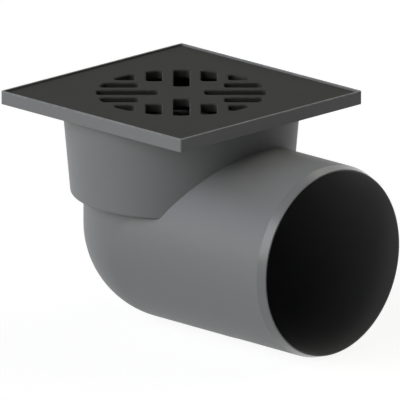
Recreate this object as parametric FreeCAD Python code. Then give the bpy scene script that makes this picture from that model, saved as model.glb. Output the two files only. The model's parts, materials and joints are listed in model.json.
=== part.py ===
import FreeCAD, Part
import math
import os

# Floor gully with a side outlet, in millimetres.
# The inlet axis is Z and the outlet points along +X.
# The origin is the middle of the square top, level with the top of its rim.

# Square top that is set into the floor
TOP_SIDE = 144.0
TOP_CORNER_R = 1.2
TOP_EDGE_BEVEL = 0.4
EDGE_HEIGHT = 7.6
RIM_WIDTH = 2.1
TRAY_FLOOR = 2.3
TRAY_CORNER_R = 0.8

# Tapered bowl below the top
BOWL_MOUTH_R = 67.1
BOWL_TAPER = 5.06
BOWL_DEPTH = 58.2
BOWL_WALL = 2.8
BOWL_FLOOR = 2.8
BOWL_EDGE_BEVEL = 1.2

# Elbow and outlet spigot, nominal size 110
ELBOW_R = 55.3
ELBOW_WALL = 2.6
OUTLET_DEPTH = 76.5
SPIGOT_R = 55.1
SPIGOT_REACH = 120.0
SPIGOT_START = 68.0
SPIGOT_TAPER_LENGTH = 7.0
TIP_LENGTH = 5.3
TIP_STEP = 1.7

# Ribs inside the bowl that carry the trap
SEAT_DEPTH = 15.0
SEAT_RIBS = 8
SEAT_RIB_THICK = 2.0
SEAT_RIB_REACH = 5.2

# Lift-out grate
GRATE_GAP = 0.45
GRATE_SUNK = 1.0
GRATE_PLATE = 2.8
GRATE_SKIRT = 2.4
GRATE_CORNER_R = 1.0
GRATE_EDGE_BEVEL = 0.5
SLOT_WIDTH = 9.2
SLOT_PITCH = 15.5
SLOT_CORNER_R = 2.4
SLOT_EDGE_BEVEL = 0.6
FIELD_EDGE = 1.5
CENTRE_SLOT_START = 13.0
SIDE_SLOT_BAR = 4.1
GRATE_RIB_THICK = 2.0
GRATE_RIB_DEPTH = 5.2
GRATE_RING_GAP = 5.0

# Funnel of the trap with its dip tube
FUNNEL_WALL = 2.2
FUNNEL_SLOPE = 21.8
FUNNEL_SIDE_GAP = 2.1
FUNNEL_LIP = 1.7
FUNNEL_RIM_STEP = 2.1
FUNNEL_NECK = 2.4
DIP_R = 27.2
DIP_WALL = 1.9
DIP_TAPER = 0.7
DIP_DEPTH = 100.0
COLLAR_R = 37.8
COLLAR_WALL = 1.9
COLLAR_DEPTH = 34.4
LUG_REACH = 1.5
LUG_ANGLE = 8.0
LUG_HEIGHT = 2.0
LUG_DEPTH = 31.2
HANDLE_SPAN = 66.0
HANDLE_WIDTH = 8.0
HANDLE_THICK = 2.6
HANDLE_DEPTH = 11.6

# Cup that holds the water of the trap
CUP_GAP = 0.2
CUP_WALL = 2.0
CUP_TAPER = 1.0
CUP_TOP_GAP = 1.6
CUP_BOTTOM_DEPTH = 112.0
CUP_CORNER_BEVEL = 16.0
WATER_SEAL = 50.0
WINDOW_TOP_DEPTH = 37.0
WINDOW_CORNER_R = 2.0
CUP_POSTS = 4
POST_ANGLE = 15.0
TURN_ANGLE = 14.0
LUG_PLAY = 0.4
LUG_SIDE_PLAY = 2.0

# Rubber ring between the funnel and the bowl
SEAL_HEIGHT = 3.5
SEAL_BASE = 1.9
SEAL_LIP = 0.9
SEAL_LIP_RISE = 0.8
SEAL_FIT = 0.05

# Levels and radii that follow from the sizes above
TRAY_DEPTH = EDGE_HEIGHT - TRAY_FLOOR
BOWL_SLOPE = math.tan(math.radians(BOWL_TAPER))
BORE_R = ELBOW_R - ELBOW_WALL
FIELD_R = 3 * SLOT_PITCH + FIELD_EDGE
GRATE_RING_R = FIELD_R + GRATE_RING_GAP + GRATE_RIB_THICK
Z_AXIS = FreeCAD.Vector(0, 0, 1)
X_AXIS = FreeCAD.Vector(1, 0, 0)
ORIGIN = FreeCAD.Vector(0, 0, 0)
ELBOW_CENTRE = FreeCAD.Vector(0, 0, -OUTLET_DEPTH)
SAME = 1e-4


def bowl_outer_radius(depth):
    """Outside radius of the bowl at a depth below the rim."""
    return BOWL_MOUTH_R - (depth - EDGE_HEIGHT) * BOWL_SLOPE


def bowl_inner_radius(depth):
    """Inside radius of the bowl at a depth below the rim."""
    return bowl_outer_radius(depth) - BOWL_WALL


def unit(a, b):
    """Direction from one point to another, as a unit vector."""
    step = b.sub(a)
    return step.multiply(1.0 / step.Length)


def rounded_wire(corners):
    """Closed wire through (point, radius) corners, each rounded by an arc."""
    edges = []
    ends = []
    count = len(corners)
    for i, (corner, radius) in enumerate(corners):
        before = unit(corner, corners[i - 1][0])
        after = unit(corner, corners[(i + 1) % count][0])
        if radius <= 0:
            ends.append((corner, corner))
            continue
        half = before.getAngle(after) / 2
        reach = radius / math.tan(half)
        start = corner + before * reach
        stop = corner + after * reach
        bisector = unit(ORIGIN, before + after)
        middle = corner + bisector * (radius / math.sin(half) - radius)
        edges.append(Part.Arc(start, middle, stop).toShape())
        ends.append((start, stop))
    for i in range(count):
        start = ends[i][1]
        stop = ends[(i + 1) % count][0]
        edges.append(Part.LineSegment(start, stop).toShape())
    return Part.Wire(Part.__sortEdges__(edges))


def turned(section):
    """Solid turned about Z from (radius, depth, bevel) corners."""
    corners = [(FreeCAD.Vector(r, 0, -depth), bevel) for r, depth, bevel in section]
    points = []
    for i, (corner, bevel) in enumerate(corners):
        if bevel <= 0:
            points.append(corner)
            continue
        points.append(corner + unit(corner, corners[i - 1][0]) * bevel)
        points.append(corner + unit(corner, corners[(i + 1) % len(corners)][0]) * bevel)
    return Part.Face(Part.makePolygon(points + points[:1])).revolve(ORIGIN, Z_AXIS, 360)


def square_block(side, corner_r, top_depth, bottom_depth):
    """Square block about Z with rounded upright corners."""
    half = side / 2
    points = [(-half, -half), (half, -half), (half, half), (-half, half)]
    corners = [(FreeCAD.Vector(x, y, -bottom_depth), corner_r) for x, y in points]
    return Part.Face(rounded_wire(corners)).extrude(Z_AXIS * (bottom_depth - top_depth))


def is_level(edge):
    """True for an edge that lies in one level plane."""
    return edge.BoundBox.ZLength < SAME


def edges_at_depth(solid, depth):
    """Edges that lie wholly in the level plane at a depth."""
    return [e for e in solid.Edges if is_level(e) and abs(e.BoundBox.ZMin + depth) < SAME]


def upright_edges(solid):
    """Straight edges that run along Z."""
    return [e for e in solid.Edges if e.BoundBox.XLength < SAME and e.BoundBox.YLength < SAME]


def sector_ring(inner_r, outer_r, top_depth, bottom_depth, angle, spread):
    """Piece of a ring about Z, spread degrees wide and centred on an angle."""
    face = Part.makePlane(
        outer_r - inner_r,
        bottom_depth - top_depth,
        FreeCAD.Vector(inner_r, 0, -top_depth),
        FreeCAD.Vector(0, 1, 0),
        X_AXIS,
    )
    face.rotate(ORIGIN, Z_AXIS, angle - spread / 2)
    return face.revolve(ORIGIN, Z_AXIS, spread)


def elbow_form(radius, top_depth, outlet):
    """Upright leg and round heel of one radius, joined to the outlet tube."""
    heel = Part.makeSphere(radius, ELBOW_CENTRE)
    leg = Part.makeCylinder(radius, OUTLET_DEPTH - top_depth, ELBOW_CENTRE)
    return heel.fuse([leg, outlet]).removeSplitter()


def spigot():
    """Outlet tube: from the elbow's size down to the spigot's, then a tapered lead."""
    profile = [
        (0, 0),
        (0, ELBOW_R),
        (SPIGOT_START - SPIGOT_TAPER_LENGTH, ELBOW_R),
        (SPIGOT_START, SPIGOT_R),
        (SPIGOT_REACH - TIP_LENGTH, SPIGOT_R),
        (SPIGOT_REACH, SPIGOT_R - TIP_STEP),
        (SPIGOT_REACH, 0),
    ]
    points = [FreeCAD.Vector(x, 0, r - OUTLET_DEPTH) for x, r in profile]
    return Part.Face(Part.makePolygon(points + points[:1])).revolve(ELBOW_CENTRE, X_AXIS, 360)


def seat_rib(angle):
    """One upright rib inside the bowl, whose top carries the trap."""
    foot = BOWL_DEPTH - BOWL_FLOOR / 2
    inner = bowl_inner_radius(SEAT_DEPTH) - SEAT_RIB_REACH
    outer = bowl_inner_radius(SEAT_DEPTH) + BOWL_WALL
    rib = Part.makeBox(
        outer - inner,
        SEAT_RIB_THICK,
        foot - SEAT_DEPTH,
        FreeCAD.Vector(inner, -SEAT_RIB_THICK / 2, -foot),
    )
    rib.rotate(ORIGIN, Z_AXIS, angle)
    return rib


def bowl_form(top, wall, floor_depth, bevel):
    """Tapered form of the bowl between two depths, set in by a wall."""
    return turned(
        [
            (0, top, 0),
            (bowl_outer_radius(top) - wall, top, 0),
            (bowl_outer_radius(floor_depth) - wall, floor_depth, bevel),
            (0, floor_depth, 0),
        ]
    )


def make_body():
    """Square top, bowl, elbow and spigot, moulded as one piece."""
    top = square_block(TOP_SIDE, TOP_CORNER_R, 0, EDGE_HEIGHT)
    top = top.makeChamfer(TOP_EDGE_BEVEL, edges_at_depth(top, 0))
    bowl = bowl_form(EDGE_HEIGHT - TRAY_FLOOR / 2, 0, BOWL_DEPTH, BOWL_EDGE_BEVEL)
    elbow = elbow_form(ELBOW_R, BOWL_DEPTH - BOWL_FLOOR, spigot())
    body = top.fuse([bowl, elbow])
    tray = square_block(TOP_SIDE - 2 * RIM_WIDTH, TRAY_CORNER_R, 0, TRAY_DEPTH)
    bowl_space = bowl_form(TRAY_DEPTH / 2, BOWL_WALL, BOWL_DEPTH - BOWL_FLOOR, 0)
    body = body.cut([tray, bowl_space])
    half_wall = bowl_form(TRAY_DEPTH, BOWL_WALL / 2, BOWL_DEPTH - BOWL_FLOOR / 2, 0)
    ribs = [seat_rib((i + 0.5) * 360 / SEAT_RIBS) for i in range(SEAT_RIBS)]
    body = body.fuse([rib.common(half_wall) for rib in ribs])
    bore = Part.makeCylinder(BORE_R, SPIGOT_REACH, ELBOW_CENTRE, X_AXIS)
    passage = elbow_form(BORE_R, BOWL_DEPTH - 2 * BOWL_FLOOR, bore)
    return body.cut(passage).removeSplitter()


def slot_prism(x_range, y_range):
    """Cutter for one slot, ended by the round edge of the slotted field."""
    depth = GRATE_SUNK + GRATE_PLATE + GRATE_RIB_DEPTH
    low = FreeCAD.Vector(x_range[0], y_range[0], -depth)
    block = Part.makeBox(x_range[1] - x_range[0], y_range[1] - y_range[0], depth, low)
    field = Part.makeCylinder(FIELD_R, depth, FreeCAD.Vector(0, 0, -depth))
    prism = block.common(field)
    return prism.makeFillet(SLOT_CORNER_R, upright_edges(prism))


def slot_prisms():
    """The sixteen slots, in four quarters about the middle."""
    half = SLOT_WIDTH / 2
    side = (SLOT_PITCH - half, SLOT_PITCH + half)
    corner = (2 * SLOT_PITCH - half, FIELD_R)
    quarter = [
        slot_prism((CENTRE_SLOT_START, FIELD_R), (-half, half)),
        slot_prism((side[1] + SIDE_SLOT_BAR, FIELD_R), side),
        slot_prism(side, (side[1] + SIDE_SLOT_BAR, FIELD_R)),
        slot_prism(corner, corner),
    ]
    return [turned_copy(slot, i * 90) for i in range(4) for slot in quarter]


def turned_copy(shape, angle):
    """Copy of a shape, turned about Z."""
    copy = shape.copy()
    copy.rotate(ORIGIN, Z_AXIS, angle)
    return copy


def rib_bar(start, stop, top_depth, bottom_depth):
    """Straight rib under the grate between two (x, y) points."""
    run = math.dist(start, stop)
    bar = Part.makeBox(
        run,
        GRATE_RIB_THICK,
        bottom_depth - top_depth,
        FreeCAD.Vector(0, -GRATE_RIB_THICK / 2, -bottom_depth),
    )
    bar.rotate(ORIGIN, Z_AXIS, math.degrees(math.atan2(stop[1] - start[1], stop[0] - start[0])))
    bar.translate(FreeCAD.Vector(start[0], start[1], 0))
    return bar


def grate_ribs():
    """Ribs that run under the bars between the slots, inside a ring."""
    top = GRATE_SUNK + GRATE_PLATE / 2
    bottom = GRATE_SUNK + GRATE_PLATE + GRATE_RIB_DEPTH
    near = SLOT_PITCH / 2
    far = near + SLOT_PITCH
    ring_mid = GRATE_RING_R - GRATE_RIB_THICK / 2
    near_end = math.sqrt(ring_mid**2 - near**2)
    far_end = math.sqrt(ring_mid**2 - far**2)
    quarter = [
        rib_bar((near, -near_end), (near, near_end), top, bottom),
        rib_bar((near, near), (far, far), top, bottom),
        rib_bar((far, far), (far, far_end), top, bottom),
        rib_bar((far, far), (far_end, far), top, bottom),
    ]
    ring = turned(
        [
            (GRATE_RING_R - GRATE_RIB_THICK, top, 0),
            (GRATE_RING_R, top, 0),
            (GRATE_RING_R, bottom, 0),
            (GRATE_RING_R - GRATE_RIB_THICK, bottom, 0),
        ]
    )
    return [ring] + [turned_copy(rib, i * 90) for i in range(4) for rib in quarter]


def make_grate():
    """Square slotted plate with a skirt that stands on the tray's floor."""
    side = TOP_SIDE - 2 * RIM_WIDTH - 2 * GRATE_GAP
    plate = square_block(side, GRATE_CORNER_R, GRATE_SUNK, TRAY_DEPTH)
    plate = plate.makeChamfer(GRATE_EDGE_BEVEL, edges_at_depth(plate, GRATE_SUNK))
    hollow = square_block(
        side - 2 * GRATE_SKIRT, GRATE_CORNER_R, GRATE_SUNK + GRATE_PLATE, TRAY_DEPTH + GRATE_PLATE
    )
    plate = plate.cut(hollow)
    pattern = Part.makeCompound(slot_prisms())
    pattern.rotate(ORIGIN, Z_AXIS, 45)
    plate = plate.cut(pattern.Solids)
    brims = [e for e in edges_at_depth(plate, GRATE_SUNK) if inside_field(e)]
    plate = plate.makeChamfer(SLOT_EDGE_BEVEL, brims)
    ribs = [turned_copy(rib, 45) for rib in grate_ribs()]
    return plate.fuse(ribs).removeSplitter()


def inside_field(edge):
    """True for an edge of a slot, false for the grate's outer edge."""
    middle = edge.CenterOfMass
    return math.hypot(middle.x, middle.y) < FIELD_R


def dish_underside(radius):
    """Depth of the funnel's sloping underside at a radius."""
    fall = math.tan(math.radians(FUNNEL_SLOPE))
    return SEAT_DEPTH + (funnel_flange_inner() - radius) * fall


def dish_top(radius):
    """Depth of the funnel's sloping top face at a radius."""
    return dish_underside(radius) - FUNNEL_WALL / math.cos(math.radians(FUNNEL_SLOPE))


def funnel_outer():
    """Outside radius of the flange that stands on the ribs."""
    return bowl_inner_radius(SEAT_DEPTH) - FUNNEL_SIDE_GAP


def funnel_flange_inner():
    """Radius where the flat flange ends and the dish begins."""
    return bowl_inner_radius(SEAT_DEPTH) - SEAT_RIB_REACH - FUNNEL_WALL / 2


def groove_floor():
    """Radius of the neck that the rubber ring sits on."""
    return funnel_outer() - FUNNEL_RIM_STEP


def make_funnel():
    """Trap funnel: flange, sloping dish, dip tube, collar, lugs and handle."""
    rim = groove_floor()
    neck_in = rim - FUNNEL_NECK
    groove_low = SEAT_DEPTH - FUNNEL_LIP
    groove_top = groove_low - SEAL_HEIGHT - 2 * SEAL_FIT
    rim_top = groove_top - FUNNEL_LIP / 2
    dip_low_r = DIP_R - math.tan(math.radians(DIP_TAPER)) * (DIP_DEPTH - SEAT_DEPTH)
    funnel = turned(
        [
            (dip_low_r - DIP_WALL, DIP_DEPTH, 0),
            (dip_low_r, DIP_DEPTH, 0),
            (DIP_R, dish_underside(DIP_R), 0),
            (funnel_flange_inner(), SEAT_DEPTH, 0),
            (funnel_outer(), SEAT_DEPTH, 0),
            (funnel_outer(), groove_low, 0),
            (rim, groove_low, 0),
            (rim, groove_top, 0),
            (rim + FUNNEL_LIP / 2, groove_top, 0),
            (rim + FUNNEL_LIP / 2, rim_top, 0),
            (neck_in, rim_top, 0),
            (neck_in, dish_top(neck_in), 0),
            (DIP_R - DIP_WALL, dish_top(DIP_R - DIP_WALL), 2 * FUNNEL_WALL),
        ]
    )
    middle = COLLAR_R - COLLAR_WALL / 2
    collar = turned(
        [
            (COLLAR_R - COLLAR_WALL, dish_underside(middle) - FUNNEL_WALL / 2, 0),
            (COLLAR_R, dish_underside(middle) - FUNNEL_WALL / 2, 0),
            (COLLAR_R, COLLAR_DEPTH, 0),
            (COLLAR_R - COLLAR_WALL, COLLAR_DEPTH, 0),
        ]
    )
    lugs = [
        sector_ring(middle, COLLAR_R + LUG_REACH, LUG_DEPTH, LUG_DEPTH + LUG_HEIGHT, a, LUG_ANGLE)
        for a in post_angles()
    ]
    return funnel.fuse([collar, handle()] + lugs).removeSplitter()


def handle():
    """Arched strap over the dip tube's mouth, to lift the trap out by."""
    half = HANDLE_SPAN / 2
    middle = FUNNEL_WALL / 2
    rise = dish_top(half) + middle - HANDLE_DEPTH
    radius = (half**2 + rise**2) / (2 * rise)
    centre = FreeCAD.Vector(0, -HANDLE_WIDTH / 2, -HANDLE_DEPTH - radius)
    along = FreeCAD.Vector(0, 1, 0)
    outer = Part.makeCylinder(radius, HANDLE_WIDTH, centre, along)
    inner = Part.makeCylinder(radius - HANDLE_THICK, HANDLE_WIDTH, centre, along)
    wide = 2 * radius
    below = turned(
        [
            (0, dish_top(0) + middle, 0),
            (wide, dish_top(wide) + middle, 0),
            (wide, HANDLE_DEPTH + 2 * wide, 0),
            (0, HANDLE_DEPTH + 2 * wide, 0),
        ]
    )
    return outer.cut([inner, below])


def post_angles():
    """Directions of the cup's posts, which the funnel's lugs share."""
    return [(i + 0.5) * 360 / CUP_POSTS for i in range(CUP_POSTS)]


def bayonet_slot(angle):
    """L-shaped slot in the cup's rim: down from the top, then along."""
    inner = COLLAR_R
    outer = COLLAR_R + CUP_GAP + 2 * CUP_WALL
    low = LUG_DEPTH + LUG_HEIGHT + LUG_PLAY
    entry_width = LUG_ANGLE + LUG_SIDE_PLAY
    entry = sector_ring(inner, outer, cup_top() - CUP_WALL, low, angle + TURN_ANGLE, entry_width)
    run_spread = TURN_ANGLE + entry_width
    run = sector_ring(inner, outer, LUG_DEPTH, low, angle + TURN_ANGLE / 2, run_spread)
    return entry.fuse(run)


def cup_top():
    """Depth of the cup's upper edge, just below the funnel."""
    return dish_underside(COLLAR_R + CUP_GAP + CUP_WALL) + CUP_TOP_GAP


def window(angle):
    """Overflow window between two posts; its sill is the water level."""
    sill = DIP_DEPTH - WATER_SEAL
    middle_r = COLLAR_R + CUP_GAP + CUP_WALL / 2
    spread = 360 / CUP_POSTS - POST_ANGLE
    ring = sector_ring(
        middle_r - 2 * CUP_WALL, middle_r + 2 * CUP_WALL, WINDOW_TOP_DEPTH, sill, angle, spread
    )
    radial = [e for e in ring.Edges if is_level(e) and abs(e.Length - 4 * CUP_WALL) < SAME]
    return ring.makeFillet(WINDOW_CORNER_R, radial)


def make_cup():
    """Water cup with four posts, overflow windows and a bayonet rim."""
    inner = COLLAR_R + CUP_GAP
    outer = inner + CUP_WALL
    shrink = math.tan(math.radians(CUP_TAPER)) * (CUP_BOTTOM_DEPTH - COLLAR_DEPTH)
    cup = turned(
        [
            (0, CUP_BOTTOM_DEPTH, 0),
            (outer - shrink, CUP_BOTTOM_DEPTH, CUP_CORNER_BEVEL),
            (outer, COLLAR_DEPTH + CUP_GAP, 0),
            (outer, cup_top(), 0),
            (inner, cup_top(), 0),
            (inner, COLLAR_DEPTH + CUP_GAP, 0),
            (inner - shrink, CUP_BOTTOM_DEPTH - CUP_WALL, CUP_CORNER_BEVEL - CUP_WALL / 2),
            (0, CUP_BOTTOM_DEPTH - CUP_WALL, 0),
        ]
    )
    windows = [window(i * 360 / CUP_POSTS) for i in range(CUP_POSTS)]
    slots = [bayonet_slot(a) for a in post_angles()]
    return cup.cut(windows + slots).removeSplitter()


def make_seal():
    """Rubber ring on the funnel's neck, with two lips against the bowl."""
    inner = groove_floor() + SEAL_FIT
    base = inner + SEAL_BASE
    low = SEAT_DEPTH - FUNNEL_LIP
    top = low - SEAL_HEIGHT
    section = [(inner, low, 0), (base, low, 0)]
    gap = (SEAL_HEIGHT - 2 * SEAL_LIP) / 2
    for i in range(2):
        root = low - gap / 2 - i * (SEAL_LIP + gap)
        tip = root - SEAL_LIP_RISE
        section.append((base, root, 0))
        section.append((bowl_inner_radius(tip) - SEAL_FIT, tip, 0))
        section.append((bowl_inner_radius(tip - SEAL_LIP) - SEAL_FIT, tip - SEAL_LIP, 0))
        section.append((base, root - SEAL_LIP, 0))
    section += [(base, top, 0), (inner, top, 0)]
    return turned(section)


def main():
    os.makedirs("parts", exist_ok=True)
    nodes = {
        "gully_body": make_body(),
        "grate": make_grate(),
        "trap_funnel": make_funnel(),
        "trap_cup": make_cup(),
        "seal_ring": make_seal(),
    }
    for name, shape in nodes.items():
        solids = len(shape.Solids)
        print(name, "valid", shape.isValid(), "solids", solids, "volume", round(shape.Volume))
        shape.exportStep("parts/" + name + ".step")


main()
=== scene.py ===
"""Looks of a floor gully with a side outlet: its mouldings, finishes and studio."""

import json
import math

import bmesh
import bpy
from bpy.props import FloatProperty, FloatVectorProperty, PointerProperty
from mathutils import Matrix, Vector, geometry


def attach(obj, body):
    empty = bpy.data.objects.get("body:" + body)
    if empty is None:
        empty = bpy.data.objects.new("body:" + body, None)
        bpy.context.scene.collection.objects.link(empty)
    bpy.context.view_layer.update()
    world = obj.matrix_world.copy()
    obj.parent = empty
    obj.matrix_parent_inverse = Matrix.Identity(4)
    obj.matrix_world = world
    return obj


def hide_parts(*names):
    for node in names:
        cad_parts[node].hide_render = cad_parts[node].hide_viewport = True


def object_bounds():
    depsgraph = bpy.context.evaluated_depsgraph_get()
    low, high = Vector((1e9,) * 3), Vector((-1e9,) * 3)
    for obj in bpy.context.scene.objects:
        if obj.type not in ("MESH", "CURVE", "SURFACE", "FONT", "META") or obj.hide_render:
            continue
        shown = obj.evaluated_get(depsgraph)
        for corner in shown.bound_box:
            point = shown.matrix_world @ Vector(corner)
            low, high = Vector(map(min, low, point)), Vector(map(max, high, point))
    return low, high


bl_info = {
    "name": "Floor Gully",
    "version": (1, 0, 0),
    "blender": (4, 5, 0),
    "location": "3D View > Sidebar > Gully",
    "description": "Models a floor gully's mouldings, finishes and studio around the packed frame",
    "category": "Object",
}

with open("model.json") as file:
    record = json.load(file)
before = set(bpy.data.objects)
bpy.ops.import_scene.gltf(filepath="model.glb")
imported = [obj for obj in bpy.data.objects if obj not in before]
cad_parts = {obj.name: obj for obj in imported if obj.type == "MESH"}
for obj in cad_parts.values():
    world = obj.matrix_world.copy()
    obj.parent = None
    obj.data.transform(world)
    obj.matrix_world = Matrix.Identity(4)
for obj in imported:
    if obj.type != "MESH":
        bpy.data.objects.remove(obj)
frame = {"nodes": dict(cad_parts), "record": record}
CAD_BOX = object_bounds()
MM = 0.001


# Mesh tools

TURN_STEPS = 192  # in a full circle
CORNER_STEPS = 6  # in a square's or a slot's corner
BRIM_STEPS = 4  # in the rounding of a main edge
FOOT_STEPS = 5  # in the rounding of the bowl's foot
TIP_STEPS = 3  # in the rounding of the spigot's tip
RIB_STEPS = 2  # in the rounding of a rib
NEAR = 0.002 * MM
MERGE = NEAR / 10
SHARP_ANGLE = math.radians(32.0)
QUARTER_TURN = math.pi / 2
EIGHTH_TURN = math.pi / 4
X_AXIS = Vector((1.0, 0.0, 0.0))
Y_AXIS = Vector((0.0, 1.0, 0.0))
Z_AXIS = Vector((0.0, 0.0, 1.0))


def spun(profile, axis, centre):
    """Solid turned from (distance along the axis, radius) points between its two poles."""
    shape = bmesh.new()
    side = Y_AXIS if axis == X_AXIS else X_AXIS
    verts = [shape.verts.new(centre + axis * along + side * radius) for along, radius in profile]
    edges = [shape.edges.new(pair) for pair in zip(verts, verts[1:])]
    bmesh.ops.spin(
        shape,
        geom=verts + edges,
        cent=centre,
        axis=axis,
        angle=2 * math.pi,
        steps=TURN_STEPS,
        use_merge=True,
    )
    bmesh.ops.remove_doubles(shape, verts=shape.verts, dist=MERGE)
    bmesh.ops.recalc_face_normals(shape, faces=shape.faces)
    return shape


def round_edges(shape, width, test, segments=BRIM_STEPS):
    """Round the edges whose two ends pass a test."""
    edges = [e for e in shape.edges if all(test(v.co) for v in e.verts)]
    if not edges:
        raise RuntimeError("no edge to round")
    bmesh.ops.bevel(
        shape,
        geom=edges,
        offset=width,
        offset_type="OFFSET",
        affect="EDGES",
        segments=segments,
        profile=0.5,
        material=-1,
        clamp_overlap=True,
    )


def at_level(level):
    """Test for points at a height."""
    return lambda co: abs(co.z - level) < NEAR


def past_square(half, level):
    """Test for points at a height that lie outside a square about the upright axis."""
    return lambda co: abs(co.z - level) < NEAR and max(abs(co.x), abs(co.y)) > half


def at_ring(radius, level):
    """Test for points on a circle about the upright axis."""
    return lambda co: abs(co.z - level) < NEAR and abs(co.xy.length - radius) < NEAR


def at_tube_ring(values, along, radius):
    """Test for points on a circle about the outlet's axis."""

    def test(co):
        across = math.hypot(co.y, co.z + values.outlet_depth)
        return abs(co.x - along) < NEAR and abs(across - radius) < NEAR

    return test


def square_loop(shape, half, corner, level):
    """Level square outline with rounded corners, as a loop of edges."""
    place = Matrix.Translation((0.0, 0.0, level))
    grid = bmesh.ops.create_grid(shape, x_segments=1, y_segments=1, size=half, matrix=place)
    rounded = bmesh.ops.bevel(
        shape,
        geom=grid["verts"],
        offset=corner,
        offset_type="OFFSET",
        affect="VERTICES",
        segments=CORNER_STEPS,
        profile=0.5,
        material=-1,
    )
    face = rounded["verts"][0].link_faces[0]
    edges = list(face.edges)
    bmesh.ops.delete(shape, geom=[face], context="FACES_ONLY")
    return edges


def circle_loop(shape, radius, level):
    """Level circle about the upright axis, as a loop of edges."""
    place = Matrix.Translation((0.0, 0.0, level))
    made = bmesh.ops.create_circle(
        shape, cap_ends=False, radius=radius, segments=TURN_STEPS, matrix=place
    )
    return list(dict.fromkeys(e for v in made["verts"] for e in v.link_edges))


def drawn(shape, outline):
    """Fresh loop of edges from an outline, given as a loop function and its values."""
    return outline[0](shape, *outline[1:])


def stacked(shape, outlines):
    """Closed solid joined from one outline to the next and capped at both ends.

    Each wall is bridged between fresh loops and merged with the rest after, because
    bridge_loops can twist where a loop already has a face. A circle and a square
    outline lie at one level, and the ring between them is filled.
    """
    for lower, upper in zip(outlines, outlines[1:]):
        pair = drawn(shape, lower), drawn(shape, upper)
        if len(pair[0]) == len(pair[1]):
            bmesh.ops.bridge_loops(shape, edges=pair[0] + pair[1])
        else:
            bmesh.ops.triangle_fill(shape, use_beauty=True, edges=pair[0] + pair[1])
    for end in (outlines[0], outlines[-1]):
        bmesh.ops.edgeloop_fill(shape, edges=drawn(shape, end))
    bmesh.ops.remove_doubles(shape, verts=shape.verts, dist=MERGE)
    bmesh.ops.recalc_face_normals(shape, faces=shape.faces)


def block(size, middle, rounding):
    """Bmesh of a box with all its edges rounded."""
    shape = bmesh.new()
    place = Matrix.Translation(middle) @ Matrix.Diagonal((*size, 1.0))
    bmesh.ops.create_cube(shape, size=1.0, matrix=place)
    round_edges(shape, rounding, lambda co: True, RIB_STEPS)
    return shape


def merged(shapes):
    """One bmesh that holds several, which are used up."""
    whole = bmesh.new()
    for shape in shapes:
        mesh = bpy.data.meshes.new("part")
        shape.to_mesh(mesh)
        shape.free()
        whole.from_mesh(mesh)
        bpy.data.meshes.remove(mesh)
    return whole


def rotated(shape, angle):
    """Turn a bmesh about the upright axis."""
    matrix = Matrix.Rotation(angle, 3, "Z")
    bmesh.ops.rotate(shape, verts=shape.verts, cent=(0, 0, 0), matrix=matrix)
    return shape


def placed(shape, name):
    """Object at the origin that holds a bmesh, which is used up."""
    mesh = bpy.data.meshes.new(name)
    shape.to_mesh(mesh)
    shape.free()
    item = bpy.data.objects.new(name, mesh)
    bpy.context.scene.collection.objects.link(item)
    return item


def baked(item):
    """Make an object's modifiers part of its mesh."""
    graph = bpy.context.evaluated_depsgraph_get()
    mesh = bpy.data.meshes.new_from_object(item.evaluated_get(graph))
    old = item.data
    item.modifiers.clear()
    item.data = mesh
    bpy.data.meshes.remove(old)


def combine(item, shape, operation):
    """Add a closed bmesh to an object or cut it away; the bmesh is used up."""
    if not all(edge.is_manifold for edge in shape.edges):
        raise RuntimeError(f"a form for {item.name} isn't closed")
    other = placed(shape, "tool")
    modifier = item.modifiers.new("combine", "BOOLEAN")
    modifier.operation = operation
    modifier.solver = "MANIFOLD"
    modifier.object = other
    baked(item)
    if not item.data.polygons:
        raise RuntimeError(f"{item.name} is empty after {operation}")
    mesh = other.data
    bpy.data.objects.remove(other)
    bpy.data.meshes.remove(mesh)


def divides_edge(vert):
    """Whether a point has only two edges and lies on the line between their far ends."""
    if len(vert.link_edges) != 2:
        return False
    one, two = (edge.other_vert(vert).co for edge in vert.link_edges)
    nearest = geometry.intersect_point_line(vert.co, one, two)[0]
    return (nearest - vert.co).length < NEAR


def smooth_mesh(item):
    """Smooth shading between sharp edges, with flat faces kept flat and no spare points."""
    shape = bmesh.new()
    shape.from_mesh(item.data)
    bmesh.ops.remove_doubles(shape, verts=shape.verts, dist=NEAR)
    bmesh.ops.dissolve_degenerate(shape, edges=shape.edges, dist=NEAR)
    bmesh.ops.dissolve_verts(shape, verts=[v for v in shape.verts if divides_edge(v)])
    for face in shape.faces:
        face.smooth = True
    shape.to_mesh(item.data)
    shape.free()
    item.data.set_sharp_from_angle(angle=SHARP_ANGLE)
    weighted = item.modifiers.new("flat faces", "WEIGHTED_NORMAL")
    weighted.keep_sharp = True
    weighted.weight = 100
    baked(item)


def finished(item, node, material):
    """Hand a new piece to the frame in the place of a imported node."""
    item.data.materials.clear()
    item.data.materials.append(material)
    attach(item, "root")
    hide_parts(node)


# Body moulding


def bowl_radius(values, depth, wall=0.0):
    """Radius of the bowl at a depth below the rim, set in by a wall."""
    return values.bowl_mouth - (depth - values.edge_height) * math.tan(values.bowl_taper) - wall


def quarter_round(radius):
    """(along, radius) points from the pole behind the heel to its widest circle."""
    steps = TURN_STEPS // 4
    turns = [i * QUARTER_TURN / steps for i in range(steps + 1)]
    return [(-radius * math.cos(turn), radius * math.sin(turn)) for turn in turns]


def elbow(values, leg_top, radius, tube):
    """Round heel and outlet tube in one, and the upright leg, as two closed bmeshes."""
    centre = Vector((0.0, 0.0, -values.outlet_depth))
    outlet = spun(quarter_round(radius) + tube, X_AXIS, centre)
    leg = spun([(0, 0), (0, radius), (leg_top, radius), (leg_top, 0)], Z_AXIS, centre)
    return outlet, leg


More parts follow.
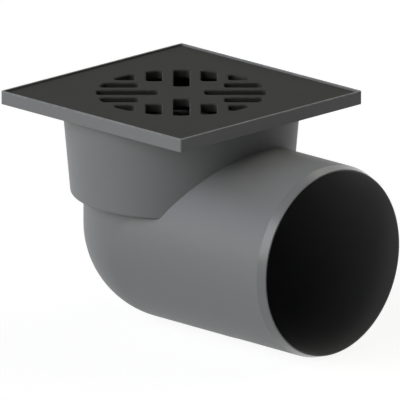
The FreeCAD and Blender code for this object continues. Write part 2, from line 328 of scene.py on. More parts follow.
def square_top_and_bowl(values):
    """Square top with its tray and the open tapered bowl below it."""
    shape = bmesh.new()
    half = values.top_side / 2
    tray_half = half - values.rim_width
    tray = values.edge_height - values.tray_floor
    foot = values.bowl_depth
    floor = foot - values.bowl_wall
    mouth_in = bowl_radius(values, tray, values.bowl_wall)
    stacked(
        shape,
        [
            (circle_loop, bowl_radius(values, foot), -foot),
            (circle_loop, values.bowl_mouth, -values.edge_height),
            (square_loop, half, values.top_corner, -values.edge_height),
            (square_loop, half, values.top_corner, 0.0),
            (square_loop, tray_half, values.tray_corner, 0.0),
            (square_loop, tray_half, values.tray_corner, -tray),
            (circle_loop, mouth_in, -tray),
            (circle_loop, bowl_radius(values, floor, values.bowl_wall), -floor),
        ],
    )
    side_start = half - values.top_corner
    round_edges(shape, values.edge_round, past_square(side_start, 0.0))
    round_edges(shape, values.foot_round, past_square(side_start, -values.edge_height))
    round_edges(shape, values.foot_round, at_ring(mouth_in, -tray))
    foot_edge = at_ring(bowl_radius(values, foot), -foot)
    round_edges(shape, values.bowl_round, foot_edge, FOOT_STEPS)
    return shape


SEAT_RIBS = 8
SEAT_RIB_ROUND = 0.15  # rounding of a seat rib as a share of its thickness
BORE_OVERRUN = 1 * MM


def seat_ribs(values):
    """Upright ribs inside the bowl that carry the trap."""
    ribs = []
    inner = bowl_radius(values, values.seat_depth, values.bowl_wall) - values.seat_reach
    foot = values.bowl_depth - values.bowl_wall / 2
    outer = [bowl_radius(values, d, values.bowl_wall / 2) for d in (values.seat_depth, foot)]
    for i in range(SEAT_RIBS):
        size = (outer[0] - inner, values.seat_thickness, foot - values.seat_depth)
        middle = ((outer[0] + inner) / 2, 0.0, -(foot + values.seat_depth) / 2)
        rib = block(size, middle, SEAT_RIB_ROUND * values.seat_thickness)
        for vert in rib.verts:
            if vert.co.x > middle[0] and vert.co.z < middle[2]:
                vert.co.x -= outer[0] - outer[1]
        ribs.append(rotated(rib, (i + 0.5) * 2 * math.pi / SEAT_RIBS))
    return merged(ribs)


def mould_body(values):
    """Top, bowl, elbow and spigot as one moulding."""
    depth = values.bowl_depth
    floor = depth - values.bowl_wall
    lead = [
        (values.spigot_reach - values.tip_length, values.spigot_radius),
        (values.spigot_reach, values.spigot_radius - values.tip_step),
    ]
    tube = [
        (values.spigot_start - values.spigot_taper, values.elbow_radius),
        (values.spigot_start, values.spigot_radius),
        *lead,
        (values.spigot_reach, 0.0),
    ]
    outlet, leg = elbow(values, values.outlet_depth - floor, values.elbow_radius, tube)
    for along, radius in lead:
        round_edges(outlet, values.tip_round, at_tube_ring(values, along, radius), TIP_STEPS)
    body = placed(outlet, "gully_moulding")
    combine(body, leg, "UNION")
    half_wall = values.bowl_wall / 2
    cone = [
        (-floor - half_wall, 0.0),
        (-floor - half_wall, bowl_radius(values, depth, half_wall)),
        (0.0, bowl_radius(values, 0.0, half_wall)),
        (0.0, 0.0),
    ]
    combine(body, spun(cone, Z_AXIS, Vector()), "DIFFERENCE")
    combine(body, square_top_and_bowl(values), "UNION")
    combine(body, seat_ribs(values), "UNION")
    past_tip = values.spigot_reach + BORE_OVERRUN
    bore = [(past_tip, values.bore_radius), (past_tip, 0.0)]
    opening = values.outlet_depth - depth + 2 * values.bowl_wall
    for part in elbow(values, opening, values.bore_radius, bore):
        combine(body, part, "DIFFERENCE")
    smooth_mesh(body)
    return body


# Grate

BRIM_FLARE = 1.5  # how far the cutter flares above the grate, in brims


def field_radius(values):
    """Radius of the round slotted field."""
    return 3 * values.slot_pitch + values.field_edge


def slot_arcs(values, low, high):
    """Rounded outline of a slot between two corners, as (centre, radius, start, stop) arcs.

    The side away from the middle is the round edge of the slotted field. A slot whose
    second corner is as high as the field has one square corner, and the others have two.
    """
    field = field_radius(values)
    corner = values.slot_corner
    reach = field - corner
    quarter = QUARTER_TURN
    near_x, low_y, high_y = low[0] + corner, low[1] + corner, high[1] - corner
    first = Vector((math.sqrt(reach**2 - low_y**2), low_y))
    one_corner = high[1] >= field
    if one_corner:
        second = Vector((near_x, math.sqrt(reach**2 - near_x**2)))
    else:
        second = Vector((math.sqrt(reach**2 - high_y**2), high_y))
    start, stop = (math.atan2(c.y, c.x) for c in (first, second))
    arcs = [
        (Vector((near_x, low_y)), corner, 2 * quarter, 3 * quarter),
        (first, corner, -quarter, start),
        (Vector((0.0, 0.0)), field, start, stop),
    ]
    if one_corner:
        arcs.append((second, corner, stop, 2 * quarter))
    else:
        arcs.append((second, corner, stop, quarter))
        arcs.append((Vector((near_x, high_y)), corner, quarter, 2 * quarter))
    return arcs


def slot_loop(shape, arcs, grow, level):
    """Loop of edges along a slot's outline, set out by some width."""
    verts = []
    for centre, radius, start, stop in arcs:
        for i in range(CORNER_STEPS + 1):
            turn = start + (stop - start) * i / CORNER_STEPS
            way = Vector((math.cos(turn), math.sin(turn)))
            point = Vector((*(centre + way * (radius + grow)), level))
            if not verts or (point - verts[-1].co).length > NEAR:
                verts.append(shape.verts.new(point))
    return [shape.edges.new(pair) for pair in zip(verts, verts[1:] + verts[:1])]


def slot_cutter(values, low, high, turn):
    """Closed cutter for one slot, flared at the top so that its brim comes out rounded."""
    shape = bmesh.new()
    arcs = slot_arcs(values, low, high)
    face = -values.grate_sunk
    brim = values.slot_brim
    levels = [(-values.edge_height - values.rib_depth, 0.0)]
    for i in range(BRIM_STEPS + 1):
        lift = i * QUARTER_TURN / BRIM_STEPS
        levels.append((face - brim + brim * math.sin(lift), brim * (1 - math.cos(lift))))
    levels.append((0.0, BRIM_FLARE * brim))
    stacked(shape, [(slot_loop, arcs, grow, level) for level, grow in levels])
    return rotated(shape, turn)


def slot_cutters(values):
    """The sixteen slots, in four quarters about the middle."""
    field = field_radius(values)
    half = values.slot_width / 2
    side = (values.slot_pitch - half, values.slot_pitch + half)
    start = side[1] + values.side_bar
    corner = 2 * values.slot_pitch - half
    kinds = [
        ((values.centre_start, -half), (field, half)),
        ((start, side[0]), (field, side[1])),
        ((start, -side[1]), (field, -side[0])),
        ((corner, corner), (field, field)),
    ]
    turns = [EIGHTH_TURN + i * QUARTER_TURN for i in range(4)]
    return merged([slot_cutter(values, *kind, turn) for kind in kinds for turn in turns])


def rib_bar(values, start, stop):
    """Straight rib under the grate between two points."""
    low = values.grate_sunk + values.grate_plate + values.rib_depth
    high = values.grate_sunk + values.field_plate / 2
    run = math.dist(start, stop)
    middle = (run / 2, 0.0, -(low + high) / 2)
    rib = block((run, values.rib_thickness, low - high), middle, values.rib_round)
    rotated(rib, math.atan2(stop[1] - start[1], stop[0] - start[0]))
    bmesh.ops.translate(rib, verts=rib.verts, vec=(*start, 0.0))
    return rib


def grate_ribs(values):
    """Ribs under the bars between the slots, as a list of closed bmeshes."""
    ring = field_radius(values) + values.ring_gap + values.rib_thickness / 2
    near = values.slot_pitch / 2
    far = near + values.slot_pitch
    near_end = math.sqrt(ring**2 - near**2)
    far_end = math.sqrt(ring**2 - far**2)
    runs = [
        ((near, -near_end), (near, near_end)),
        ((near, near), (far, far)),
        ((far, far), (far, far_end)),
        ((far, far), (far_end, far)),
    ]
    ribs = []
    for i in range(4):
        turn = EIGHTH_TURN + i * QUARTER_TURN
        ribs.extend(rotated(rib_bar(values, *run), turn) for run in runs)
    return ribs


def grate_plate(values):
    """Plate with its skirt and the round rib below, as one closed bmesh."""
    half = values.top_side / 2 - values.rim_width - values.grate_gap
    inner = half - values.grate_skirt
    top = -values.grate_sunk
    under = top - values.grate_plate
    foot = -(values.edge_height - values.tray_floor)
    low = under - values.rib_depth
    ring_in = field_radius(values) + values.ring_gap
    ring_out = ring_in + values.rib_thickness
    shape = bmesh.new()
    stacked(
        shape,
        [
            (square_loop, half, values.grate_corner, top),
            (square_loop, half, values.grate_corner, foot),
            (square_loop, inner, values.grate_corner, foot),
            (square_loop, inner, values.grate_corner, under),
            (circle_loop, ring_out, under),
            (circle_loop, ring_out, low),
            (circle_loop, ring_in, low),
            (circle_loop, ring_in, top - values.field_plate),
        ],
    )
    round_edges(shape, values.grate_round, at_level(top))
    for radius in (ring_in, ring_out):
        round_edges(shape, values.rib_round, at_ring(radius, low), RIB_STEPS)
    return shape


def mould_grate(values):
    """Slotted square plate with its skirt and the ribs below."""
    grate = placed(grate_plate(values), "grate_moulding")
    combine(grate, slot_cutters(values), "DIFFERENCE")
    for rib in grate_ribs(values):
        combine(grate, rib, "UNION")
    smooth_mesh(grate)
    return grate


# Shader maths


class Wire:
    """Socket of a shader node, which Python's operators extend with Math nodes."""

    def __init__(self, tree, socket):
        self.tree = tree
        self.socket = socket

    def math(self, operation, *values):
        """Result of a Math node."""
        node = self.tree.nodes.new("ShaderNodeMath")
        node.operation = operation
        for slot, value in zip(node.inputs, values):
            plug(self.tree, slot, value)
        return Wire(self.tree, node.outputs[0])

    def __add__(self, other):
        return self.math("ADD", self, other)

    __radd__ = __add__

    def __sub__(self, other):
        return self.math("SUBTRACT", self, other)

    def __rsub__(self, other):
        return self.math("SUBTRACT", other, self)

    def __mul__(self, other):
        return self.math("MULTIPLY", self, other)

    __rmul__ = __mul__

    def __pow__(self, other):
        return self.math("POWER", self, other)

    def above(self, low, high):
        """0 below low, 1 above high and smooth between."""
        node = self.tree.nodes.new("ShaderNodeMapRange")
        node.interpolation_type = "SMOOTHSTEP"
        plug(self.tree, node.inputs["Value"], self)
        node.inputs["From Min"].default_value = low
        node.inputs["From Max"].default_value = high
        return Wire(self.tree, node.outputs["Result"])


def plug(tree, slot, value):
    """Link a wire to a socket, or set the socket to a plain value."""
    if isinstance(value, Wire):
        tree.links.new(value.socket, slot)
    elif slot.type == "RGBA" and len(value) == 3:
        slot.default_value = (*value, 1.0)
    else:
        slot.default_value = value


# Sockets of a Mix node that blends colours
MIX_FACTOR, MIX_LOW, MIX_HIGH = 0, 6, 7
MIX_RESULT = 2


class Finish:
    """Procedural material built around one Principled shader."""

    def __init__(self, name):
        self.material = bpy.data.materials.new(name)
        self.material.use_nodes = True
        self.tree = self.material.node_tree
        self.shader = self.tree.nodes["Principled BSDF"]
        coordinates = self.tree.nodes.new("ShaderNodeTexCoord")
        self.place = Wire(self.tree, coordinates.outputs["Object"])

    def add(self, kind, settings, values, output=0):
        """New node with its settings made first and its sockets filled after."""
        node = self.tree.nodes.new(kind)
        for key, value in settings.items():
            setattr(node, key, value)
        for key, value in values.items():
            plug(self.tree, node.inputs[key], value)
        return Wire(self.tree, node.outputs[output])

    def noise(self, scale, detail=2.0, roughness=0.5):
        """Noise from 0 to 1 whose lumps are about 1/scale metres across."""
        values = {
            "Vector": self.place,
            "Scale": scale,
            "Detail": detail,
            "Roughness": roughness,
        }
        return self.add("ShaderNodeTexNoise", {}, values)

    def axes(self):
        """Object coordinates as three numbers."""
        split = self.tree.nodes.new("ShaderNodeSeparateXYZ")
        plug(self.tree, split.inputs[0], self.place)
        return tuple(Wire(self.tree, split.outputs[axis]) for axis in "XYZ")

    def mix(self, factor, low, high):
        """Blend of two colours."""
        values = {MIX_FACTOR: factor, MIX_LOW: low, MIX_HIGH: high}
        return self.add("ShaderNodeMix", {"data_type": "RGBA"}, values, MIX_RESULT)

    def set(self, **values):
        """Fill sockets of the shader, named with underscores for spaces."""
        for key, value in values.items():
            plug(self.tree, self.shader.inputs[key.replace("_", " ")], value)

    def bump(self, height, depth):
        """Feed a height to the shader's normal, depth metres from low to high."""
        values = {"Height": height, "Distance": depth, "Strength": 1.0}
        self.set(Normal=self.add("ShaderNodeBump", {}, values))


def scaled(colour, factor):
    """Colour made lighter or darker by a factor."""
    return tuple(min(1.0, c * factor) for c in colour)


def record_colour(slot):
    """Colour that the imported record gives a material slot."""
    for material in frame["record"]["materials"]:
        if material["slot"] == slot:
            return tuple(material["base_color"])
    raise RuntimeError(f"the record has no material slot {slot}")


# Finishes

CLOUD_DETAIL = 3.0

# Noise scales, in lumps for each metre
BODY_CLOUDS, BODY_GRAIN = 38.0, 2600.0
GRATE_CLOUDS, GRATE_GRAIN = 60.0, 1900.0
TRAP_CLOUDS, TRAP_GRAIN = 45.0, 3200.0
RUBBER_BLOOM, RUBBER_GRAIN = 300.0, 1500.0
# patches of the painted highlight and wear along edges
HIGHLIGHT_AND_WEAR_PATCHES = 260.0

# Shares by which the clouds change a colour
BODY_CLOUDING, GRATE_CLOUDING, TRAP_CLOUDING = 0.035, 0.06, 0.08

# Brightness of the grain's high points, and of the rubber's bloom, against the colour
BODY_GRAIN_TONE, GRATE_GRAIN_TONE = 1.04, 1.12
BLOOM_TONE = 1.9

GRATE_TONE = 0.77  # brightness of the grate's colour against the record's

# How far each noise changes the roughness: the clouds or the bloom first, then the grain
BODY_UNEVEN = (0.08, 0.06)
GRATE_UNEVEN = (0.06, 0.1)
TRAP_UNEVEN = (0.1, 0.05)
RUBBER_UNEVEN = (0.15,)

# Depth of the grain against the body's
GRATE_GRAIN_DEPTH, TRAP_GRAIN_DEPTH = 1.6, 0.6

NOISE_MIDDLE = 0.5
HIGHLIGHT_AND_WEAR_NOISE = (0.3, 0.7)  # noise at which the painted highlight and wear begin and are full
BLOOM_NOISE = (0.45, 0.8)  # noise at which the rubber's bloom begins and is full
HIGHLIGHT_AND_WEAR_BLEND = 0.15  # share of a band of painted highlight and wear over which it fades at each side
RIM_HIGHLIGHT_AND_WEAR_DEPTH = 0.85  # depth of the rim's painted highlight and wear as a share of its rounding
BRIM_HIGHLIGHT_AND_WEAR_DEPTH = 0.8  # depth of the brims' painted highlight and wear as a share of their rounding
ABOVE_RIM = 1 * MM
UNDER_FACE = 0.04 * MM
LEAD_BLEND = 0.15 * MM
LEAD_INSET = 0.3 * MM  # how far into the wall the lead's finish reaches
LEAD_INSET_BLEND = 0.1 * MM
LEAD_GRAIN_LOSS = 0.7  # share of the grain that turning takes off


def varied(finish, noise, colour, spread):
    """Colour that a noise makes darker and lighter by a share."""
    return finish.mix(noise, scaled(colour, 1 - spread), scaled(colour, 1 + spread))


def uneven(level, noises, spreads):
    """Level that each noise raises and lowers, about its middle, by a spread."""
    for noise, spread in zip(noises, spreads):
        level = level + (noise - NOISE_MIDDLE) * spread
    return level


def turned_lead(finish, shape):
    """1 on the tapered lead at the spigot's tip, 0 elsewhere."""
    along, across, up = finish.axes()
    radius = (across * across + (up + shape.outlet_depth) ** 2) ** 0.5
    start = shape.spigot_reach - shape.tip_length
    skin = shape.spigot_radius - shape.tip_step - LEAD_INSET
    on_skin = radius.above(skin, skin + LEAD_INSET_BLEND)
    return along.above(start, start + LEAD_BLEND) * on_skin


def painted_highlight_and_wear(finish, low, high):
    """Mask of a patchy band between two levels of the upright axis, where a highlight is painted
    together with wear.
    """
    height = finish.axes()[2]
    soft = HIGHLIGHT_AND_WEAR_BLEND * (high - low)
    band = height.above(low, low + soft) * (1 - height.above(high - soft, high))
    return band * finish.noise(HIGHLIGHT_AND_WEAR_PATCHES, CLOUD_DETAIL).above(*HIGHLIGHT_AND_WEAR_NOISE)


def body_finish(values, shape):
    """Satin moulded polypropylene: fine spark-eroded grain and faint clouding.

    The lead at the tip is turned after moulding, so it is smoother and glossier,
    and the rim's upper edge is painted paler: a painted highlight, in patches like wear.
    """
    finish = Finish("body_plastic")
    colour = tuple(values.body_colour)
    clouds = finish.noise(BODY_CLOUDS, CLOUD_DETAIL)
    grain = finish.noise(BODY_GRAIN, roughness=0.6)
    lead = turned_lead(finish, shape)
    clouded = varied(finish, clouds, colour, BODY_CLOUDING)
    skin = finish.mix(grain, clouded, scaled(colour, BODY_GRAIN_TONE))
    # painted highlight along the rim's upper edge, in patches like wear
    painted_lit_and_worn = painted_highlight_and_wear(finish, -RIM_HIGHLIGHT_AND_WEAR_DEPTH * shape.edge_round, ABOVE_RIM)
    skin = finish.mix(painted_lit_and_worn, skin, scaled(colour, values.rim_highlight_and_wear))
    roughness = uneven(values.body_roughness, (clouds, grain), BODY_UNEVEN)
    finish.set(
        Base_Color=finish.mix(lead, skin, scaled(colour, values.lead_tone)),
        Roughness=roughness * (1 - lead * values.lead_polish),
        Specular_IOR_Level=values.body_gloss,
        Coat_Weight=lead * values.lead_sheen,
        Coat_Roughness=values.lead_roughness,
    )
    finish.bump(grain * (1 - LEAD_GRAIN_LOSS * lead), values.grain_depth)
    return finish.material


def grate_finish(values, shape):
    """Matt dark plastic with a coarser grain, painted paler on the slots' brims: a painted
    highlight, in patches like wear.
    """
    finish = Finish("grate_plastic")
    colour = tuple(values.grate_colour)
    clouds = finish.noise(GRATE_CLOUDS, CLOUD_DETAIL)
    grain = finish.noise(GRATE_GRAIN, detail=3.0, roughness=0.65)
    face = -shape.grate_sunk
    # painted highlight along the slots' brims, in patches like wear
    painted_lit_and_worn = painted_highlight_and_wear(finish, face - BRIM_HIGHLIGHT_AND_WEAR_DEPTH * shape.slot_brim, face - UNDER_FACE)
    clouded = varied(finish, clouds, colour, GRATE_CLOUDING)
    skin = finish.mix(grain, clouded, scaled(colour, GRATE_GRAIN_TONE))
    finish.set(
        Base_Color=finish.mix(painted_lit_and_worn, skin, scaled(colour, values.brim_highlight_and_wear)),
        Roughness=uneven(values.grate_roughness, (clouds, grain), GRATE_UNEVEN),
        Specular_IOR_Level=values.grate_gloss,
    )
    finish.bump(grain, GRATE_GRAIN_DEPTH * values.grain_depth)
    return finish.material


def trap_finish(values):
    """Smooth charcoal plastic of the trap's two mouldings."""
    finish = Finish("trap_plastic")
    clouds = finish.noise(TRAP_CLOUDS, CLOUD_DETAIL)
    grain = finish.noise(TRAP_GRAIN)
    finish.set(
        Base_Color=varied(finish, clouds, tuple(values.trap_colour), TRAP_CLOUDING),
        Roughness=uneven(values.trap_roughness, (clouds, grain), TRAP_UNEVEN),
        Specular_IOR_Level=values.body_gloss,
    )
    finish.bump(grain, TRAP_GRAIN_DEPTH * values.grain_depth)
    return finish.material


def rubber_finish(values):
    """Soft black rubber with a dusty bloom."""
    finish = Finish("seal_rubber")
    colour = tuple(values.rubber_colour)
    bloom = finish.noise(RUBBER_BLOOM, detail=4.0)
    grain = finish.noise(RUBBER_GRAIN)
    finish.set(
        Base_Color=finish.mix(bloom.above(*BLOOM_NOISE), colour, scaled(colour, BLOOM_TONE)),
        Roughness=uneven(values.rubber_roughness, (bloom,), RUBBER_UNEVEN),
        Specular_IOR_Level=values.rubber_gloss,
    )
    finish.bump(grain, values.grain_depth)
    return finish.material


# Values that a user would change


def size(name, description, millimetres):
    """Length property with its default given in millimetres."""
    default = millimetres * MM
    return FloatProperty(
        name=name, description=description, unit="LENGTH", precision=6, default=default
    )


def angle(name, description, degrees):
    """Angle property with its default given in degrees."""
    default = math.radians(degrees)
    return FloatProperty(name=name, description=description, subtype="ANGLE", default=default)


def share(name, description, default):
    """Property that runs from 0 to 1."""
    return FloatProperty(
        name=name, description=description, subtype="FACTOR", min=0.0, max=1.0, default=default
    )


def number(name, description, default):
    """Plain number property."""
    return FloatProperty(name=name, description=description, default=default)


def tint(name, description, default):
    """Colour property."""
    return FloatVectorProperty(
        name=name, description=description, subtype="COLOR", min=0.0, max=1.0, default=default
    )


class GullyShapeValues(bpy.types.PropertyGroup):
    """Sizes of the body and the grate"""

    top_side: size("Top side", "Side of the square top", 144.0)
    top_corner: size("Top corner", "Radius of the top's upright corners", 1.2)
    edge_height: size("Edge height", "Height of the square top's edge", 7.6)
    rim_width: size("Rim width", "Width of the rim round the grate", 1.15)
    tray_floor: size("Tray floor", "Thickness of the floor below the grate", 2.3)
    tray_corner: size("Tray corner", "Radius of the tray's upright corners", 0.6)
    edge_round: size("Edge rounding", "Rounding of the top's upper edge", 1.0)
    foot_round: size("Foot rounding", "Rounding of the top's lower edge", 0.4)
    bowl_mouth: size("Bowl mouth", "Outside radius of the bowl under the top", 67.1)
    bowl_taper: angle("Bowl taper", "Angle of the bowl's wall to the upright", 5.06)
    bowl_depth: size("Bowl depth", "Depth of the bowl's underside below the rim", 58.2)
    bowl_wall: size("Bowl wall", "Thickness of the bowl's wall and floor", 2.8)
    bowl_round: size("Bowl rounding", "Rounding of the bowl's lower edge", 1.5)
    elbow_radius: size("Elbow radius", "Outside radius of the elbow's leg and heel", 55.3)
    bore_radius: size("Bore radius", "Inside radius of the elbow and the spigot", 52.7)
    outlet_depth: size("Outlet depth", "Depth of the outlet's axis below the rim", 76.5)
    spigot_radius: size("Spigot radius", "Outside radius of the plain end", 55.1)
    spigot_start: size("Spigot start", "Distance from the inlet axis to the plain end", 68.0)
    spigot_taper: size("Spigot taper", "Length of the taper before the plain end", 7.0)
    spigot_reach: size("Spigot reach", "Distance from the inlet axis to the tip", 120.0)
    tip_length: size("Tip length", "Length of the tapered lead at the tip", 5.3)
    tip_step: size("Tip step", "How far the lead drops at the tip", 1.7)
    tip_round: size("Tip rounding", "Rounding of the lead's two edges", 0.25)
    seat_depth: size("Seat depth", "Depth of the ribs that carry the trap", 15.0)
    seat_reach: size("Seat reach", "How far the ribs stand into the bowl", 5.2)
    seat_thickness: size("Seat thickness", "Thickness of a rib", 2.0)
    grate_gap: size("Grate gap", "Gap between the grate and the rim", 0.45)
    grate_sunk: size("Grate sunk", "Depth of the grate's face below the rim", 0.9)
    grate_plate: size("Grate plate", "Thickness of the grate's plate", 2.8)
    field_plate: size("Field plate", "Thickness of the plate inside the ribs' ring", 4.6)
    grate_skirt: size("Grate skirt", "Thickness of the grate's skirt", 2.4)
    grate_corner: size("Grate corner", "Radius of the grate's upright corners", 0.7)
    grate_round: size("Grate rounding", "Rounding of the grate's outer edge", 0.4)
    slot_width: size("Slot width", "Width of a slot", 9.2)
    slot_pitch: size("Slot pitch", "Distance between the middles of two rows", 15.5)
    slot_corner: size("Slot corner", "Radius of a slot's corners", 2.4)
    slot_brim: size("Slot brim", "Rounding of a slot's upper edge", 0.95)
    centre_start: size("Centre start", "Distance from the middle to a centre slot", 13.0)
    side_bar: size("Side bar", "Bar between a centre slot's row and a side slot", 4.1)
    field_edge: size("Field edge", "How far the slots run past three pitches", 1.5)
    rib_thickness: size("Rib thickness", "Thickness of the grate's ribs", 2.0)
    rib_depth: size("Rib depth", "Depth of the grate's ribs below its plate", 5.2)
    rib_round: size("Rib rounding", "Rounding of the ribs' edges", 0.2)
    ring_gap: size("Ring gap", "Gap between the slots and the ribs' ring", 5.0)


class GullyFinishValues(bpy.types.PropertyGroup):
    """Colours and surfaces of the pieces"""

    body_colour: tint(
        "Body colour",
        "Mid grey of the body moulding",
        record_colour("body_plastic"),
    )
    body_roughness: share("Body roughness", "Roughness of the body's satin surface", 0.5)
    body_gloss: share("Body gloss", "Strength of the body's reflections", 0.3)
    # painted highlight, in patches like wear, on the rim's upper edge
    rim_highlight_and_wear: number(
        "Rim highlight and wear",
        "Brightness of the rubbed upper edge of the rim against the rest",
        1.35,
    )
    lead_tone: number(
        "Lead tone",
        "Brightness of the turned lead at the tip against the moulded skin",
        0.86,
    )
    lead_sheen: share("Lead sheen", "Weight of the sheen that turning leaves on the lead", 0.7)
    lead_polish: share(
        "Lead polish",
        "Share of the moulded skin's roughness that turning takes off the lead",
        0.4,
    )
    lead_roughness: share(
        "Lead sheen roughness",
        "Roughness of the sheen that turning leaves on the lead",
        0.25,
    )
    grate_colour: tint(
        "Grate colour",
        "Dark grey of the grate",
        scaled(record_colour("grate_plastic"), GRATE_TONE),
    )
    grate_roughness: share("Grate roughness", "Roughness of the grate's matt surface", 0.7)
    grate_gloss: share("Grate gloss", "Strength of the grate's reflections", 0.08)
    # painted highlight, in patches like wear, on the slots' brims
    brim_highlight_and_wear: number(
        "Brim highlight and wear",
        "Brightness of the rubbed brims of the slots against the rest",
        1.8,
    )
    trap_colour: tint(
        "Trap colour",
        "Charcoal of the trap funnel and cup",
        record_colour("trap_plastic"),
    )
    trap_roughness: share("Trap roughness", "Roughness of the trap's mouldings", 0.42)
    rubber_colour: tint("Rubber colour", "Black of the seal ring", record_colour("seal_rubber"))
    rubber_roughness: share("Rubber roughness", "Roughness of the seal ring", 0.72)
    rubber_gloss: share("Rubber gloss", "Strength of the seal ring's reflections", 0.3)
    grain_depth: size("Grain depth", "Depth of the moulded grain from low to high", 0.012)


class GullyStudioValues(bpy.types.PropertyGroup):
    """Camera, lamps and floor"""

    azimuth: angle(
        "Camera azimuth",
        "Direction that the camera looks from, round the upright axis",
        45.014,
    )
    elevation: angle("Camera elevation", "Height of the camera above the horizon", 15.8475)
    distance: size("Camera distance", "Distance from the camera to the point it looks at", 10500.0)
    frame_width: size("Frame width", "Width of the view at the object", 225.3547)
    aim_right: size("Aim right", "How far the aim lies to the right of the inlet axis", 10.5322)
    aim_up: size("Aim up", "How far the aim lies above the rim, square to the view", -61.5034)
    lamp_spread: angle(
        "Lamp spread",
        "Angle that each soft lamp covers as seen from the object",
        40.0,
    )
    ambient: number("Ambient light", "Strength of the light from all round", 0.0)
    floor_size: size("Floor size", "Side of the square floor", 24000.0)
    floor_glow: number(
        "Floor glow",
        "Own light of the floor, which its shading fills up to plain white",
        1.288,
    )
    floor_shadow: share(
        "Floor shadow",
        "Share of the floor's real shading that the camera sees",
        0.3,
    )


# Stage

SENSOR_WIDTH = 36.0
CLIP_RANGE = 4  # how far the camera sees, in camera distances
FLOOR_WHITE = (0.8, 0.8, 0.8, 1.0)
PURE_WHITE = (1.0, 1.0, 1.0, 1.0)

# Name, azimuth and elevation in degrees, strength and colour
LAMPS = (
    ("key_low", 325.0, 5.0, 1.0, (1.01, 1.01, 0.87)),
    ("key_high", 325.0, 28.0, 0.6, (0.88, 1.0, 1.27)),
    ("front", 350.0, 28.0, 0.79, (1.0, 1.0, 0.97)),
    ("front_high", 15.0, 55.0, 0.14, (1.0, 1.0, 1.0)),
    ("side", 135.0, 28.0, 0.08, (1.03, 1.0, 0.9)),
    ("back", 180.0, 55.0, 0.47, (1.07, 1.0, 0.83)),
)


def direction(azimuth, elevation):
    """Unit vector towards a point seen at an azimuth and elevation, in radians."""
    return Vector(
        (
            math.sin(azimuth) * math.cos(elevation),
            -math.cos(azimuth) * math.cos(elevation),
            math.sin(elevation),
        )
    )


def add_lamp(name, azimuth, elevation, strength, colour, spread):
    """Soft lamp far away, as a sun with a wide disc."""
    lamp = bpy.data.lights.new(name, "SUN")
    lamp.energy = strength
    lamp.angle = spread
    lamp.color = colour
    holder = bpy.data.objects.new(name, lamp)
    bpy.context.scene.collection.objects.link(holder)
    back = direction(math.radians(azimuth), math.radians(elevation))
    holder.rotation_mode = "QUATERNION"
    holder.rotation_quaternion = back.to_track_quat("Z", "Y")


def add_camera(values):
    """Long lens at the viewing angle of the picture."""
    camera = bpy.data.cameras.new("camera")
    camera.sensor_width = SENSOR_WIDTH
    camera.lens = SENSOR_WIDTH * values.distance / values.frame_width
    camera.clip_end = CLIP_RANGE * values.distance
    holder = bpy.data.objects.new("camera", camera)
    bpy.context.scene.collection.objects.link(holder)
    back = direction(values.azimuth, values.elevation)
    right = Vector((math.cos(values.azimuth), math.sin(values.azimuth), 0.0))
    aim = right * values.aim_right + back.cross(right) * values.aim_up
    holder.rotation_mode = "QUATERNION"
    holder.rotation_quaternion = back.to_track_quat("Z", "Y")
    holder.location = aim + back * values.distance
    bpy.context.scene.camera = holder


def seen_directly(tree):
    """1 for rays from the camera, reflections and glass, 0 for those that carry soft light."""
    path = tree.nodes.new("ShaderNodeLightPath")
    seen = Wire(tree, path.outputs["Is Camera Ray"])
    for name in ("Is Glossy Ray", "Is Transmission Ray"):
        seen = seen.math("MAXIMUM", seen, Wire(tree, path.outputs[name]))
    return seen


def white_world(ambient):
    """White to the eye and in reflections, and a plain soft light otherwise."""
    world = bpy.data.worlds.new("studio")
    world.use_nodes = True
    bpy.context.scene.world = world
    tree = world.node_tree
    tree.nodes.clear()
    background = tree.nodes.new("ShaderNodeBackground")
    background.inputs["Color"].default_value = PURE_WHITE
    strength = ambient + seen_directly(tree) * (1.0 - ambient)
    plug(tree, background.inputs["Strength"], strength)
    output = tree.nodes.new("ShaderNodeOutputWorld")
    tree.links.new(background.outputs[0], output.inputs["Surface"])


def floor_finish(shadow, own_light):
    """White floor that keeps part of its shading, and is open from below."""
    material = bpy.data.materials.new("floor_white")
    material.use_nodes = True
    tree = material.node_tree
    tree.nodes.clear()
    diffuse = tree.nodes.new("ShaderNodeBsdfDiffuse")
    diffuse.inputs["Color"].default_value = FLOOR_WHITE
    glow = tree.nodes.new("ShaderNodeEmission")
    glow.inputs["Strength"].default_value = own_light
    clear = tree.nodes.new("ShaderNodeBsdfTransparent")
    side = tree.nodes.new("ShaderNodeNewGeometry")
    seen = seen_directly(tree)
    lit = tree.nodes.new("ShaderNodeMixShader")
    plug(tree, lit.inputs[0], seen * (1.0 - shadow))
    tree.links.new(diffuse.outputs[0], lit.inputs[1])
    tree.links.new(glow.outputs[0], lit.inputs[2])
    open_below = tree.nodes.new("ShaderNodeMixShader")
    plug(tree, open_below.inputs[0], seen * Wire(tree, side.outputs["Backfacing"]))
    tree.links.new(lit.outputs[0], open_below.inputs[1])
    tree.links.new(clear.outputs[0], open_below.inputs[2])
    output = tree.nodes.new("ShaderNodeOutputMaterial")
    tree.links.new(open_below.outputs[0], output.inputs["Surface"])
    return material


def add_floor(values):
    """Plain floor at the object's lowest point."""
    mesh = bpy.data.meshes.new("floor")
    shape = bmesh.new()
    place = Matrix.Translation((0, 0, CAD_BOX[0].z))
    half = values.floor_size / 2
    bmesh.ops.create_grid(shape, x_segments=1, y_segments=1, size=half, matrix=place)
    shape.to_mesh(mesh)
    shape.free()
    floor = bpy.data.objects.new("floor", mesh)
    bpy.context.scene.collection.objects.link(floor)
    mesh.materials.append(floor_finish(values.floor_shadow, values.floor_glow))


# Operators


def dress(node, material):
    """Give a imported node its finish."""
    slots = frame["nodes"][node].material_slots
    if not slots:
        raise RuntimeError(f"node {node} has no material slot")
    for slot in slots:
        slot.material = material


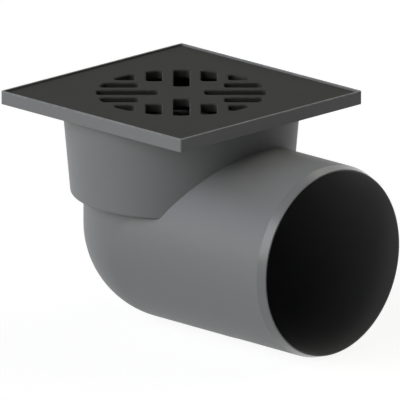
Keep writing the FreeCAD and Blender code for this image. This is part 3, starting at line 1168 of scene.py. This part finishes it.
class GullyMouldBody(bpy.types.Operator):
    """Model the body: square top, bowl, elbow and spigot in one moulding"""

    bl_idname = "gully.mould_body"
    bl_label = "Mould body"

    def execute(self, context):
        body = mould_body(context.scene.gully_shape)
        material = body_finish(context.scene.gully_finish, context.scene.gully_shape)
        finished(body, "gully_body", material)
        return {"FINISHED"}


class GullyMouldGrate(bpy.types.Operator):
    """Model the slotted lift-out grate"""

    bl_idname = "gully.mould_grate"
    bl_label = "Mould grate"

    def execute(self, context):
        grate = mould_grate(context.scene.gully_shape)
        material = grate_finish(context.scene.gully_finish, context.scene.gully_shape)
        finished(grate, "grate", material)
        return {"FINISHED"}


class GullyFinishTrap(bpy.types.Operator):
    """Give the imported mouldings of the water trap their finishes"""

    bl_idname = "gully.finish_trap"
    bl_label = "Finish trap"

    def execute(self, context):
        values = context.scene.gully_finish
        trap = trap_finish(values)
        dress("trap_funnel", trap)
        dress("trap_cup", trap)
        dress("seal_ring", rubber_finish(values))
        return {"FINISHED"}


class GullyBuildStudio(bpy.types.Operator):
    """Add the floor, the lamps, the world and the camera"""

    bl_idname = "gully.build_studio"
    bl_label = "Build studio"

    def execute(self, context):
        values = context.scene.gully_studio
        add_floor(values)
        white_world(values.ambient)
        for lamp in LAMPS:
            add_lamp(*lamp, values.lamp_spread)
        add_camera(values)
        context.scene.view_settings.view_transform = "Standard"
        return {"FINISHED"}


class GullyPanel(bpy.types.Panel):
    """Buttons for the four steps, in the 3D view's sidebar"""

    bl_idname = "GULLY_PT_panel"
    bl_label = "Floor Gully"
    bl_space_type = "VIEW_3D"
    bl_region_type = "UI"
    bl_category = "Gully"

    def draw(self, context):
        layout = self.layout
        for operator in OPERATORS:
            layout.operator(operator.bl_idname)


OPERATORS = (GullyMouldBody, GullyMouldGrate, GullyFinishTrap, GullyBuildStudio)
CLASSES = (GullyShapeValues, GullyFinishValues, GullyStudioValues) + OPERATORS + (GullyPanel,)


def register():
    for item in CLASSES:
        bpy.utils.register_class(item)
    bpy.types.Scene.gully_shape = PointerProperty(type=GullyShapeValues)
    bpy.types.Scene.gully_finish = PointerProperty(type=GullyFinishValues)
    bpy.types.Scene.gully_studio = PointerProperty(type=GullyStudioValues)


def unregister():
    del bpy.types.Scene.gully_studio
    del bpy.types.Scene.gully_finish
    del bpy.types.Scene.gully_shape
    for item in reversed(CLASSES):
        bpy.utils.unregister_class(item)


def main():
    register()
    bpy.ops.gully.mould_body()
    bpy.ops.gully.mould_grate()
    bpy.ops.gully.finish_trap()
    bpy.ops.gully.build_studio()


if __name__ == "__main__":
    main()
